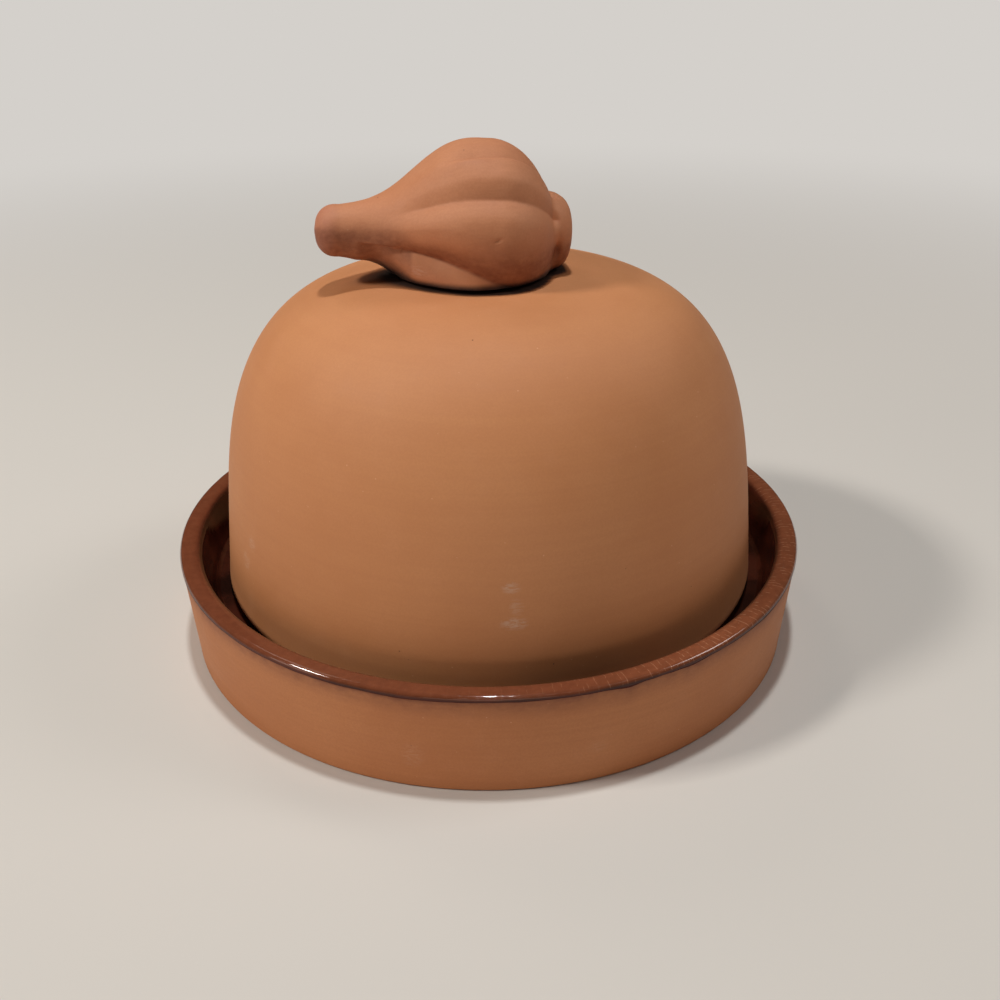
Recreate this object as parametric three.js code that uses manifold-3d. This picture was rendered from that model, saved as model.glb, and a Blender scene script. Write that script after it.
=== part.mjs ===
// Garlic roaster: a shallow clay dish, glazed inside, and a clay dome that stands in it as a lid.
// The dome's knob is a garlic bulb lying on its side, with its neck towards -X.
// Millimetres, +Z up. The origin is the middle of the dish's underside.
import * as THREE from 'three';
import { mergeVertices } from 'three/addons/utils/BufferGeometryUtils.js';
import Module from 'manifold-3d';

const wasm = await Module();
wasm.setup();

// Dome lid
const domeFootRadius = 64.4; // outside of the side, carried down to the foot
const domeHeight = 71.8; // foot to crown
const domeLean = 6.3; // how far the side leans in between foot and crown
const domeFullness = 4; // 2 is an ellipse, and more makes the shoulder fuller
const domeWall = 6;
const footRound = 2.4;
const footInnerRound = 1.2;
const ventRadius = 2; // pierced through the crown into the hollow knob
const ventLand = 2; // flat ring of the crown round the vent

// Dish
const floorThickness = 7; // table to the well's floor, glaze included
const ledgeRise = 6.5; // well's floor to the ledge that the dome stands on
const rimRise = 11; // ledge to the top of the rim
const rimWidth = 4.7;
const innerFlare = 2.6; // how far the inside of the wall leans out between ledge and rim
const outerFlare = 1; // how far the outside leans out between table and rim
const wellFlare = 2; // how far the well's side leans out
const wellFillet = 4;
const ledgeNose = 1.6; // round of the ledge's inner edge
const ledgeFillet = 1.2;
const rimRound = 1;
const baseBevel = 0.6;

// Glaze
const glazeThickness = 0.6;
const glazeLap = 1.2; // how far the glaze runs down the outside of the rim

// Garlic knob, measured along its axis from the bulb's widest place
const bulbRadius = 20.2;
const bulbBack = 14.9; // half length of the ellipse towards the root
const flareLength = 18.2; // how far the bulb's shoulder runs into the neck
const flareFullness = 2.9; // 2 is a bell curve, and more makes the shoulder fuller
const neckReach = 37.4; // widest place to the neck's tip
const neckBaseRadius = 8.2;
const neckTipRadius = 5;
const neckTipRound = 2.8;
const rootRadius = 8.2;
const rootReach = 18; // widest place to the face of the root plate
const rootRound = 3.6;
const knobRise = 8.1; // dome's crown to the knob's axis at the widest place
const knobTilt = 3.8; // degrees by which the axis rises towards the neck
const knobWall = 5;
const hollowTip = 1; // radius at which the hollow ends
const lutingThickness = 0.6;

// Creases between the cloves: angle about the knob's axis at the widest place (0 faces -Y, 90 is up),
// twist in degrees for each millimetre towards the root, swing in degrees to either side where a crease
// bends round the bulb, and depth
const creases = [
  { angle: -20, twist: 0, swing: -9, depth: 1.8 },
  { angle: 34, twist: 0, swing: 0, depth: 1.8 },
  { angle: 66.5, twist: 0.35, swing: 0, depth: 1 },
  { angle: 132, twist: 0, swing: 0, depth: 1.6 },
  { angle: 183, twist: 0, swing: 0, depth: 1.7 },
  { angle: 233, twist: 0, swing: 0, depth: 1.6 },
  { angle: 285, twist: 0, swing: 0, depth: 1.7 },
];
const swingLength = 9; // half the stretch of the axis in which a crease bends
const creaseSharpness = 1.8; // power of the fall from a clove's back to its crease
const creaseFade = 0.2; // share of the depth that is left at the neck's tip

// Clearances
const footClearance = 3.3; // dome's foot to the foot of the dish's wall
const ledgeInset = 3; // dome's inside to the ledge's inner edge
const restGap = 0.3; // dome's foot to the glazed ledge
const coatGap = 0.1; // glaze to clay
const knobGap = 0.5; // crown to the knob's lower edge
const lutingGap = 0.25; // luting to the clay above, below and beside it
const lutingInset = 2; // luting back from the knob's outside
const lutingSetback = 1; // luting back from the knob's hollow

// Facets
const turnSegments = 48;
const domeSteps = 14;
const arcSteps = 3;
const bulbSteps = 8;
const neckSteps = 11;
const cloveSteps = 6;
const weld = 1e-4;

const floorZ = floorThickness;
const ledgeZ = floorZ + ledgeRise;
const rimZ = ledgeZ + rimRise;
const wellRadius = domeFootRadius - domeWall - ledgeInset;
const ledgeRadius = domeFootRadius + footClearance;
const rimInnerRadius = ledgeRadius + innerFlare;
const rimRadius = rimInnerRadius + rimWidth;
const knobAxisZ = domeHeight + knobRise;

const terracotta = 0xc07a4c;
const knobClay = 0xb56f4a;
const slipClay = 0x9c5c3a;
const brownGlaze = 0x5e3324;
const clayRoughness = 0.85;
const slipRoughness = 0.9;
const glazeRoughness = 0.15;

const roaster = new THREE.Group();
const lid = new THREE.Group();
lid.position.z = ledgeZ + restGap;
roaster.add(lid);

// A closed geometry as a solid that can be cut and joined.
function solidOf(geometry) {
  geometry.deleteAttribute('normal');
  geometry.deleteAttribute('uv');
  const merged = mergeVertices(geometry, weld);
  const vertProperties = merged.attributes.position.array;
  const triVerts = new Uint32Array(merged.index.array);
  return new wasm.Manifold(new wasm.Mesh({ numProp: 3, vertProperties, triVerts }));
}

function addPiece(group, name, solid, color, roughness) {
  const { vertProperties, triVerts } = solid.getMesh();
  const geometry = new THREE.BufferGeometry();
  geometry.setAttribute('position', new THREE.BufferAttribute(vertProperties, 3));
  geometry.setIndex(new THREE.BufferAttribute(triVerts, 1));
  geometry.computeVertexNormals();
  const material = new THREE.MeshStandardMaterial({ color, roughness, metalness: 0 });
  const mesh = new THREE.Mesh(geometry, material);
  mesh.name = name;
  group.add(mesh);
}

// Turns an outline of [radius, height] points about Z. It runs up the outside.
function revolve(outline) {
  const points = outline.map(([r, z]) => new THREE.Vector2(r, z));
  const geometry = new THREE.LatheGeometry(points, turnSegments);
  geometry.rotateX(Math.PI / 2);
  return solidOf(geometry);
}

function unit([ax, ay], [bx, by]) {
  const length = Math.hypot(bx - ax, by - ay);
  return [(bx - ax) / length, (by - ay) / length];
}

// Corners [radius, height, round] moved to the right of the way they run, with their rounds kept parallel.
function offsetCorners(corners, distance) {
  const last = corners.length - 1;
  return corners.map((corner, i) => {
    const [ux, uy] = i ? unit(corners[i - 1], corner) : unit(corner, corners[1]);
    const [vx, vy] = i < last ? unit(corner, corners[i + 1]) : [ux, uy];
    const turn = ux * vy - uy * vx;
    const reach = distance / (1 + ux * vx + uy * vy);
    const round = Math.max(0, corner[2] + distance * Math.sign(turn));
    return [corner[0] + reach * (uy + vy), corner[1] - reach * (ux + vx), round];
  });
}

// Corners [radius, height, round] as points, with an arc at each corner that has a round.
function roundCorners(corners) {
  const points = [];
  corners.forEach(([x, y, round], i) => {
    if (!round) {
      points.push([x, y]);
      return;
    }
    const [ux, uy] = unit(corners[i - 1], corners[i]);
    const [vx, vy] = unit(corners[i], corners[i + 1]);
    const turn = Math.atan2(ux * vy - uy * vx, ux * vx + uy * vy);
    const side = Math.sign(turn);
    const tangent = round * Math.tan(Math.abs(turn) / 2);
    const centre = [x - ux * tangent - uy * round * side, y - uy * tangent + ux * round * side];
    for (let step = 0; step <= arcSteps; step++) {
      const angle = Math.atan2(uy, ux) - (side * Math.PI) / 2 + (turn * step) / arcSteps;
      points.push([centre[0] + round * Math.cos(angle), centre[1] + round * Math.sin(angle)]);
    }
  });
  return points;
}

// Points moved to the left of the way they run.
function offsetCurve(points, distance) {
  return points.map(([x, y], i) => {
    const [ux, uy] = unit(points[Math.max(i - 1, 0)], points[Math.min(i + 1, points.length - 1)]);
    return [x - uy * distance, y + ux * distance];
  });
}

// The dome's outside from above the foot's round to the crown, as a superellipse whose side leans in.
function domeCurve() {
  const lowest = Math.asin(Math.pow(footRound / domeHeight, domeFullness / 2));
  return Array.from({ length: domeSteps + 1 }, (_, i) => {
    const angle = lowest + ((Math.PI / 2 - lowest) * i) / domeSteps;
    const across = Math.pow(Math.max(Math.cos(angle), 0), 2 / domeFullness);
    const up = Math.pow(Math.sin(angle), 2 / domeFullness);
    return [(domeFootRadius - domeLean * up) * across, domeHeight * up];
  });
}

function domeLid() {
  const outside = domeCurve();
  const inside = offsetCurve(outside, domeWall);
  const side = unit(outside[0], outside[1]);
  const footInner = [inside[0][0] - (side[0] / side[1]) * inside[0][1], 0, footInnerRound];
  const footOuter = [outside[0][0] - (side[0] / side[1]) * outside[0][1], 0, footRound];
  const foot = roundCorners([[...inside[0], 0], footInner, footOuter, [...outside[1], 0]]);
  const clearOfVent = ([r]) => r > ventRadius + ventLand;
  const top = (curve) => [ventRadius, curve[curve.length - 1][1]];
  const outline = [
    ...foot.slice(1, -1),
    ...outside.slice(1).filter(clearOfVent),
    top(outside),
    top(inside),
    ...inside.slice(1).filter(clearOfVent).reverse(),
  ];
  return revolve([...outline, outline[0]]);
}

// Everything under a surface that lies a distance outside the dome.
function underCrown(distance) {
  const skin = offsetCurve(domeCurve(), -distance);
  const crown = [0, domeHeight + distance];
  return revolve([[0, 0], [skin[0][0], 0], ...skin.slice(0, -1), crown]);
}

// The glazed face of the dish, from the middle of the well over the rim to the end of the lap.
function glazeCorners() {
  const lapRadius = rimRadius - (outerFlare * glazeLap) / rimZ;
  return [
    [0, floorZ, 0],
    [wellRadius - wellFlare, floorZ, wellFillet],
    [wellRadius, ledgeZ, ledgeNose],
    [ledgeRadius, ledgeZ, ledgeFillet],
    [rimInnerRadius, rimZ, rimRound],
    [rimRadius, rimZ, rimRound],
    [lapRadius, rimZ - glazeLap, 0],
  ];
}

function dishGlaze() {
  const face = roundCorners(glazeCorners());
  const back = roundCorners(offsetCorners(glazeCorners(), glazeThickness));
  return revolve([...back, ...face.reverse()]);
}

function dishBody() {
  const coat = glazeThickness + coatGap;
  const face = roundCorners(offsetCorners(glazeCorners(), coat));
  const baseRadius = rimRadius - outerFlare - coat;
  const base = [[0, 0], [baseRadius - baseBevel, 0], [baseRadius, baseBevel]];
  return revolve([...base, ...face.reverse()]);
}

// The knob's outline as [place along the axis, radius], from the root plate to the neck's tip.
function knobOutline() {
  const quarter = (i) => ((Math.PI / 2) * i) / arcSteps;
  const root = Array.from({ length: arcSteps + 1 }, (_, i) => [
    rootReach - rootRound * (1 - Math.cos(quarter(i))),
    rootRadius - rootRound * (1 - Math.sin(quarter(i))),
  ]);
  const shoulder = Math.asin(rootRadius / bulbRadius);
  const bulb = Array.from({ length: bulbSteps }, (_, i) => {
    const angle = shoulder + ((Math.PI / 2 - shoulder) * i) / bulbSteps;
    return [bulbBack * Math.cos(angle), bulbRadius * Math.sin(angle)];
  });
  const neckRadius = (along) => {
    const shaft = neckBaseRadius + ((neckTipRadius - neckBaseRadius) * along) / neckReach;
    return shaft + (bulbRadius - shaft) * Math.exp(-Math.pow(along / flareLength, flareFullness));
  };
  const neckEnd = neckReach - neckTipRound;
  const neck = Array.from({ length: neckSteps + 1 }, (_, i) => {
    const along = (neckEnd * i) / neckSteps;
    return [-along, neckRadius(along)];
  });
  const tip = Array.from({ length: arcSteps }, (_, i) => [
    -neckEnd - neckTipRound * Math.sin(quarter(i + 1)),
    neckRadius(neckEnd) - neckTipRound * (1 - Math.cos(quarter(i + 1))),
  ]);
  return [...root, ...bulb, ...neck, ...tip];
}

// A crease's angle at a place along the axis.
function creaseAngle({ angle, twist, swing }, x) {
  return angle + twist * x + swing * Math.tanh(x / swingLength);
}

// How deep the creases are at a place along the axis, from 0 to 1: none on the root plate,
// full at the bulb's widest place, shallower where it narrows, and fading along the neck.
function creaseShare(x, radius) {
  if (x >= rootReach - rootRound) return 0;
  const along = Math.min(Math.max(-x / neckReach, 0), 1);
  return (radius / bulbRadius) * (1 - (1 - creaseFade) * along);
}

// A point at a place along the knob's tilted axis, an angle about it and a distance from it.
function knobPoint(x, angle, r) {
  const tilt = THREE.MathUtils.degToRad(knobTilt);
  const rise = r * Math.sin(angle);
  return [
    x * Math.cos(tilt) + rise * Math.sin(tilt),
    -r * Math.cos(angle),
    knobAxisZ - x * Math.sin(tilt) + rise * Math.cos(tilt),
  ];
}

// A closed skin round the knob's axis through rows of [place, radius]. Each clove spans two creases
// and falls from its back to both of them.
function knobSkin(rows, creaseScale) {
  const positions = knobPoint(rows[0][0], 0, 0);
  for (const [x, radius] of rows) {
    creases.forEach((crease, i) => {
      const next = creases[(i + 1) % creases.length];
      const from = creaseAngle(crease, x);
      const to = creaseAngle(next, x) + (next.angle < crease.angle ? 360 : 0);
      for (let step = 0; step < cloveSteps; step++) {
        const share = step / cloveSteps;
        const angle = THREE.MathUtils.degToRad(THREE.MathUtils.lerp(from, to, share));
        const fall = Math.pow(Math.abs(2 * share - 1), creaseSharpness) * creaseShare(x, radius) * creaseScale;
        const r = radius - fall * THREE.MathUtils.lerp(crease.depth, next.depth, share);
        positions.push(...knobPoint(x, angle, r));
      }
    });
  }
  positions.push(...knobPoint(rows[rows.length - 1][0], 0, 0));

  const around = creases.length * cloveSteps;
  const vertex = (row, column) => 1 + row * around + (column % around);
  const lastVertex = 1 + rows.length * around;
  const index = [];
  for (let column = 0; column < around; column++) {
    index.push(0, vertex(0, column + 1), vertex(0, column));
    for (let row = 0; row + 1 < rows.length; row++) {
      const a = vertex(row, column);
      const b = vertex(row, column + 1);
      const c = vertex(row + 1, column);
      const d = vertex(row + 1, column + 1);
      index.push(a, b, c, b, d, c);
    }
    index.push(lastVertex, vertex(rows.length - 1, column), vertex(rows.length - 1, column + 1));
  }
  const geometry = new THREE.BufferGeometry();
  geometry.setAttribute('position', new THREE.Float32BufferAttribute(positions, 3));
  geometry.setIndex(index);
  return solidOf(geometry);
}

// The knob's outline drawn in by a distance, as far as that leaves anything.
function insetKnob(distance) {
  const rows = knobOutline().map(([x, r]) => [x, r - distance]);
  return rows.filter(([x, r]) => r > hollowTip && x < rootReach - rootRound);
}

// The hollow is smooth, inside the deepest crease.
function knobHollow(growth) {
  const deepest = Math.max(...creases.map(({ depth }) => depth));
  return knobSkin(insetKnob(knobWall + deepest - growth), 0);
}

// The bulb is cut to the crown. A shallow recess in its underside takes the luting.
function garlicKnob() {
  const bulb = knobSkin(knobOutline(), 1).subtract(knobHollow(0));
  const recessTop = underCrown(lutingThickness + 2 * lutingGap);
  const recess = knobSkin(insetKnob(lutingInset - lutingGap), 1).intersect(recessTop);
  return bulb.subtract(underCrown(knobGap)).subtract(recess);
}

function knobLuting() {
  const bed = underCrown(lutingThickness + lutingGap).subtract(underCrown(lutingGap));
  return bed.intersect(knobSkin(insetKnob(lutingInset), 1)).subtract(knobHollow(lutingSetback));
}

addPiece(roaster, 'dish_body', dishBody(), terracotta, clayRoughness);
addPiece(roaster, 'dish_glaze', dishGlaze(), brownGlaze, glazeRoughness);
addPiece(lid, 'dome_lid', domeLid(), terracotta, clayRoughness);
addPiece(lid, 'knob_luting', knobLuting(), slipClay, slipRoughness);
addPiece(lid, 'garlic_knob', garlicKnob(), knobClay, clayRoughness);

export default roaster;
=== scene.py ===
import bpy
import numpy as np
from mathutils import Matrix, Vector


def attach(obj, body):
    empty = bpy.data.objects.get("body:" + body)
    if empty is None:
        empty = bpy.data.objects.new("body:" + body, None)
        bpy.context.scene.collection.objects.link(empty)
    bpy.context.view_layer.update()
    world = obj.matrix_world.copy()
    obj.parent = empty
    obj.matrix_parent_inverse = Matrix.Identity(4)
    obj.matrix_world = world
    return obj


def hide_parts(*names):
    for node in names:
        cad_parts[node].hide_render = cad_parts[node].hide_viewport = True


# Garlic roaster: a clay dish glazed brown inside, and a clay dome with a garlic bulb for its knob.
# Lengths in the dictionaries are millimetres, angles are degrees and colours are screen values, 0 to 255.
# A pair of numbers that isn't a size is where a change starts and where it ends.
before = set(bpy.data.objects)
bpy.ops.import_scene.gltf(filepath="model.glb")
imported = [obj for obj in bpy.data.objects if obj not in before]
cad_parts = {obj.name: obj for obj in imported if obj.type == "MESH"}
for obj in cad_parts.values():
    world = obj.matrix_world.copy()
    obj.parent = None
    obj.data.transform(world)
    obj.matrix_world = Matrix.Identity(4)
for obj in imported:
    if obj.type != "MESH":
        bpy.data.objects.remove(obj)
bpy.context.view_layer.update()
mm = 0.001
levelOnly = np.array([1, 1, 0])  # keeps a push off the upright


# Tools for shapes

# Soft unevenness of hand work: the sum of sine waves in seeded directions, of about the given length,
# scaled so that its root mean square is a half.
def unevenness(points, length, seed, count=14, spread=(0.7, 1.5)):
    draw = np.random.default_rng(seed)
    way = draw.normal(size=(count, 3))
    way /= np.linalg.norm(way, axis=1, keepdims=True)
    pitch = 2 * np.pi / (length * draw.uniform(*spread, count))
    phase = draw.uniform(0, 2 * np.pi, count)
    return np.sin(points @ (way * pitch[:, None]).T + phase).sum(-1) / np.sqrt(2 * count)


# 0 below low, 1 above high, and the cubic 3t^2 - 2t^3 between them.
def smooth(value, low, high):
    t = np.clip((value - low) / (high - low), 0, 1)
    return t * t * (3 - 2 * t)


# The same the other way: 1 below low and 0 above high.
def fade(value, low, high):
    return 1 - smooth(value, low, high)


# Points at even steps along a line of points.
def evenly(points, step):
    along = np.concatenate([[0], np.cumsum(np.linalg.norm(np.diff(points, axis=0), axis=1))])
    at = np.linspace(0, along[-1], max(2, int(np.ceil(along[-1] / step)) + 1))
    return np.stack([np.interp(at, along, column) for column in points.T], -1)


# A line through corners [x, y, round], with an arc of that radius in place of each rounded corner.
def roundedLine(corners, arcSteps=14):
    line = []
    for i, (x, y, radius) in enumerate(corners):
        spot = np.array([x, y], float)
        if not radius:
            line.append(spot[None])
            continue
        before, after = (np.subtract(corners[j][:2], spot) for j in (i - 1, i + 1))
        before, after = before / np.linalg.norm(before), after / np.linalg.norm(after)
        half = np.arccos(np.clip(before @ after, -1, 1)) / 2
        middle = (before + after) / np.linalg.norm(before + after)
        centre = spot + middle * radius / np.sin(half)
        swing = np.linspace(-1, 1, arcSteps)[:, None] * (np.pi / 2 - half)
        side = (after - middle * (after @ middle)) / np.sin(half)
        line.append(centre + radius * (side * np.sin(swing) - middle * np.cos(swing)))
    return np.concatenate(line)


# A line moved sideways, to the right of the way it runs, by a distance that may change along it.
def beside(line, distance):
    run = np.gradient(line, axis=0)
    run /= np.linalg.norm(run, axis=1, keepdims=True)
    return line + np.stack([run[:, 1], -run[:, 0]], -1) * np.reshape(distance, (-1, 1))


# The turn t of each column of a turned piece: 0 at the front, with the seam at the back.
def turns(columns):
    return np.linspace(-np.pi, np.pi, columns, endpoint=False)


# A profile [radius, height] turned about the upright axis: (r sin t, -r cos t, z). It may have a column of
# its own for each t.
def turned(profile, columns):
    t = turns(columns)
    radius, height = np.moveaxis(np.broadcast_to(profile, (len(profile), columns, 2)), -1, 0)
    return np.stack([radius * np.sin(t), -radius * np.cos(t), height], -1)


# A closed skin over a grid of points [row, column]. The columns go round, and the rows end in two poles
# or, as a ring, join up. The order of each face's corners is set so that the enclosed volume is positive.
def skin(name, grid, ring=False, marks=None):
    rows, columns = grid.shape[:2]
    here = np.arange(rows * columns).reshape(rows, columns)
    there = np.roll(here, -1, 0) if ring else here[1:]
    here = here if ring else here[:-1]
    faces = np.stack([here, np.roll(here, -1, 1), np.roll(there, -1, 1), there], -1).reshape(-1, 4)
    points = grid.reshape(-1, 3)
    across = (np.arange(columns) + np.array([0, 1, 1, 0])[:, None]) / columns
    down = (np.arange(len(here)) + np.array([0, 0, 1, 1])[:, None]) / len(here)
    uv = np.stack(np.broadcast_arrays(across.T[None], down.T[:, None]), -1).reshape(-1, 4, 2)
    poles = np.zeros((0, 3), int)
    if not ring:
        points = np.concatenate([points, grid[[0, -1]].mean(1)])
        first, last = np.arange(columns), np.arange((rows - 1) * columns, rows * columns)
        top = np.stack([np.full(columns, rows * columns), np.roll(first, -1), first], -1)
        bottom = np.stack([np.full(columns, rows * columns + 1), last, np.roll(last, -1)], -1)
        poles = np.concatenate([top, bottom])
    a, b, c, d = (points[faces[:, k]] for k in range(4))
    volume = (np.cross(b - a, c - a) * a).sum() + (np.cross(c - a, d - a) * a).sum()
    if volume < 0:
        faces, uv, poles = faces[:, ::-1], uv[:, ::-1], poles[:, ::-1]
    mesh = bpy.data.meshes.new(name)
    mesh.from_pydata((points * mm).tolist(), [], faces.tolist() + poles.tolist())
    mesh.polygons.foreach_set("use_smooth", np.ones(len(mesh.polygons), bool))
    corners = np.zeros((len(mesh.loops), 2), np.float32)
    corners[:faces.size] = uv.reshape(-1, 2)
    mesh.uv_layers.new(name="around").data.foreach_set("uv", corners.ravel())
    for mark, values in (marks or {}).items():
        values = np.broadcast_to(values, (rows, columns))
        ends = [] if ring else values[[0, -1]].mean(1)
        layer = mesh.attributes.new(mark, "FLOAT", "POINT")
        layer.data.foreach_set("value", np.concatenate([values.ravel(), ends]).astype(np.float32))
    piece = bpy.data.objects.new(name, mesh)
    bpy.context.scene.collection.objects.link(piece)
    return piece


# Sets a finished piece on its body, in place of its solid.
def seat(piece, body, node, material):
    piece.data.materials.append(material)
    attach(piece, body)
    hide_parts(node)
    print(f"{piece.name}: {len(piece.data.vertices)} points on {body}")


# Tools for finishes

# A screen colour, 0 to 255, as linear light.
def paint(red, green, blue):
    screen = np.array([red, green, blue]) / 255
    linear = np.where(screen < 0.04045, screen / 12.92, ((screen + 0.055) / 1.055) ** 2.4)
    return (*linear.tolist(), 1.0)


# One shader node. Inputs are values or the outputs of other nodes.
def addNode(tree, kind, inputs, **settings):
    made = tree.nodes.new("ShaderNode" + kind)
    for name, value in settings.items():
        setattr(made, name, value)
    for name, value in inputs.items():
        if isinstance(value, bpy.types.NodeSocket):
            tree.links.new(value, made.inputs[name])
        else:
            made.inputs[name].default_value = value
    return made


# A new material, with its tree, its shader and its coordinates.
def startMaterial(name):
    material = bpy.data.materials.new(name)
    material.use_nodes = True
    tree = material.node_tree
    return material, tree, tree.nodes["Principled BSDF"], addNode(tree, "TexCoord", {})


# Noise whose grains measure about the given millimetres, along x, y and z or all ways alike.
def grain(tree, place, size, detail, rough=0.55):
    scale = [1 / (s * mm) for s in np.broadcast_to(size, 3)]
    scaled = addNode(tree, "Mapping", {"Vector": place, "Scale": scale})
    return addNode(tree, "TexNoise", {"Vector": scaled.outputs[0], "Scale": 1, "Detail": detail,
                                      "Roughness": rough}).outputs["Fac"]


# A value read from one range into another, held at the ends.
def ranged(tree, value, low, high, start=0, end=1, kind="SMOOTHSTEP"):
    return addNode(tree, "MapRange", {"Value": value, "From Min": low, "From Max": high, "To Min": start,
                                      "To Max": end}, interpolation_type=kind).outputs[0]


def plus(tree, first, second):
    return addNode(tree, "Math", {0: first, 1: second}, operation="ADD").outputs[0]


def times(tree, first, second):
    return addNode(tree, "Math", {0: first, 1: second}, operation="MULTIPLY").outputs[0]


# A share of the second colour over the first.
def mixed(tree, share, first, second):
    return addNode(tree, "Mix", {0: share, 6: first, 7: second}, data_type="RGBA").outputs[2]


# A mark that a piece carries on its points, 0 to 1.
def markOf(tree, name):
    return addNode(tree, "Attribute", {}, attribute_name=name).outputs["Fac"]


# How near the surface is to a spot: 1 in its core, 0 outside an ellipsoid of the given half sizes.
def spot(tree, place, middle, size, core=0.3):
    inverse = [1 / (s * mm) for s in size]
    offset = [-m / s for m, s in zip(middle, size)]
    moved = addNode(tree, "Mapping", {"Vector": place, "Scale": inverse, "Location": offset})
    away = addNode(tree, "VectorMath", {0: moved.outputs[0]}, operation="LENGTH").outputs["Value"]
    return ranged(tree, away, 1, core)


# The clay's grain, alike on every piece: noise as its size, detail and roughness, and the range of it that
# shows. The size of streaks is the piece's own, and the edges of specks and pores are shares of their gap.
clayGrain = dict(
    cloud=((38, 38, 30), 4), cloudShow=(0.32, 0.68),
    streak=(3, 0.6), streakShow=(0.35, 0.65),
    mottle=(5, 5, 0.65), mottleShow=(0.45, 0.75), mottleRise=0.06,
    dust=(0.45, 2, 0.5), dustShow=(0.35, 0.65), dustRise=0.02,
    speckPatch=(2.6, 1), speckShow=(0.55, 0.65), speckEdge=(0.09, 0.04),
    porePatch=(7, 1), poreShow=(0.6, 0.66), poreEdge=(0.05, 0.02), poreShare=0.7, poreRise=-0.25,
    chalk=((1.6, 1.6, 0.4), 4, 0.7), chalkShow=(0.4, 0.6),
    broken=((2.5, 2.5, 1.5), 4, 0.65), brokenShow=(0.25, 0.75),
    roughSpread=0.06, roughShow=(0.3, 0.7),
)


# Spots at random places a gap apart, kept where a patchy noise lets them show.
def scattered(tree, place, gap, edge, patch, show):
    cells = addNode(tree, "TexVoronoi", {"Vector": place, "Scale": 1 / (gap * mm)})
    some = ranged(tree, grain(tree, place, *patch), *show)
    return times(tree, ranged(tree, cells.outputs["Distance"], *edge), some)


# Red clay: two tones in soft clouds, turning streaks, mottling, pale grog specks, pores and chalky scuffs,
# and over them the tones of the piece's marks (some are painted shade), each a name, tone, strength and
# least share when broken.
def redClay(name, look):
    g = clayGrain
    material, tree, shader, coords = startMaterial(name)
    place = coords.outputs["Object"]
    cloud = grain(tree, place, *g["cloud"])
    colour = mixed(tree, ranged(tree, cloud, *g["cloudShow"]), paint(*look["deep"]), paint(*look["pale"]))
    streak = grain(tree, place, look["streakSize"], *g["streak"])
    share = ranged(tree, streak, *g["streakShow"], 0, look["streak"])
    colour = mixed(tree, share, colour, paint(*look["streakTone"]))
    mottle = grain(tree, place, *g["mottle"])
    share = ranged(tree, mottle, *g["mottleShow"], 0, look["mottle"])
    colour = mixed(tree, share, colour, paint(*look["mottleTone"]))
    dust = grain(tree, place, *g["dust"])
    share = ranged(tree, dust, *g["dustShow"], 0, look["dust"])
    colour = mixed(tree, share, colour, paint(*look["dustTone"]))
    speck = scattered(tree, place, look["speckGap"], g["speckEdge"], g["speckPatch"], g["speckShow"])
    colour = mixed(tree, times(tree, speck, look["speck"]), colour, paint(*look["speckTone"]))
    pore = scattered(tree, place, look["poreGap"], g["poreEdge"], g["porePatch"], g["poreShow"])
    colour = mixed(tree, times(tree, pore, g["poreShare"]), colour, paint(*look["poreTone"]))
    for middle, size, strength in look["scuffs"]:
        chalk = ranged(tree, grain(tree, place, *g["chalk"]), *g["chalkShow"])
        share = times(tree, spot(tree, place, middle, size), chalk)
        colour = mixed(tree, times(tree, share, strength), colour, paint(*look["scuffTone"]))
    for mark, tone, strength, least in look["marks"]:
        share = markOf(tree, mark)
        broken = ranged(tree, grain(tree, place, *g["broken"]), *g["brokenShow"], least, 1)
        share = times(tree, times(tree, share, broken), strength)
        colour = mixed(tree, share, colour, paint(*tone))
    tree.links.new(colour, shader.inputs["Base Color"])
    smoothest, roughest = look["rough"] - g["roughSpread"], look["rough"] + g["roughSpread"]
    rough = ranged(tree, mottle, *g["roughShow"], smoothest, roughest, "LINEAR")
    tree.links.new(rough, shader.inputs["Roughness"])
    shader.inputs["Specular IOR Level"].default_value = look["shine"]
    height = times(tree, streak, look["streakRise"])
    for layer, rise in ((dust, g["dustRise"]), (mottle, g["mottleRise"]), (pore, g["poreRise"])):
        height = plus(tree, height, times(tree, layer, rise))
    bump = addNode(tree, "Bump", {"Height": height, "Distance": mm, "Strength": look["bump"]})
    tree.links.new(bump.outputs[0], shader.inputs["Normal"])
    return material


# Dish: clay body

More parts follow.
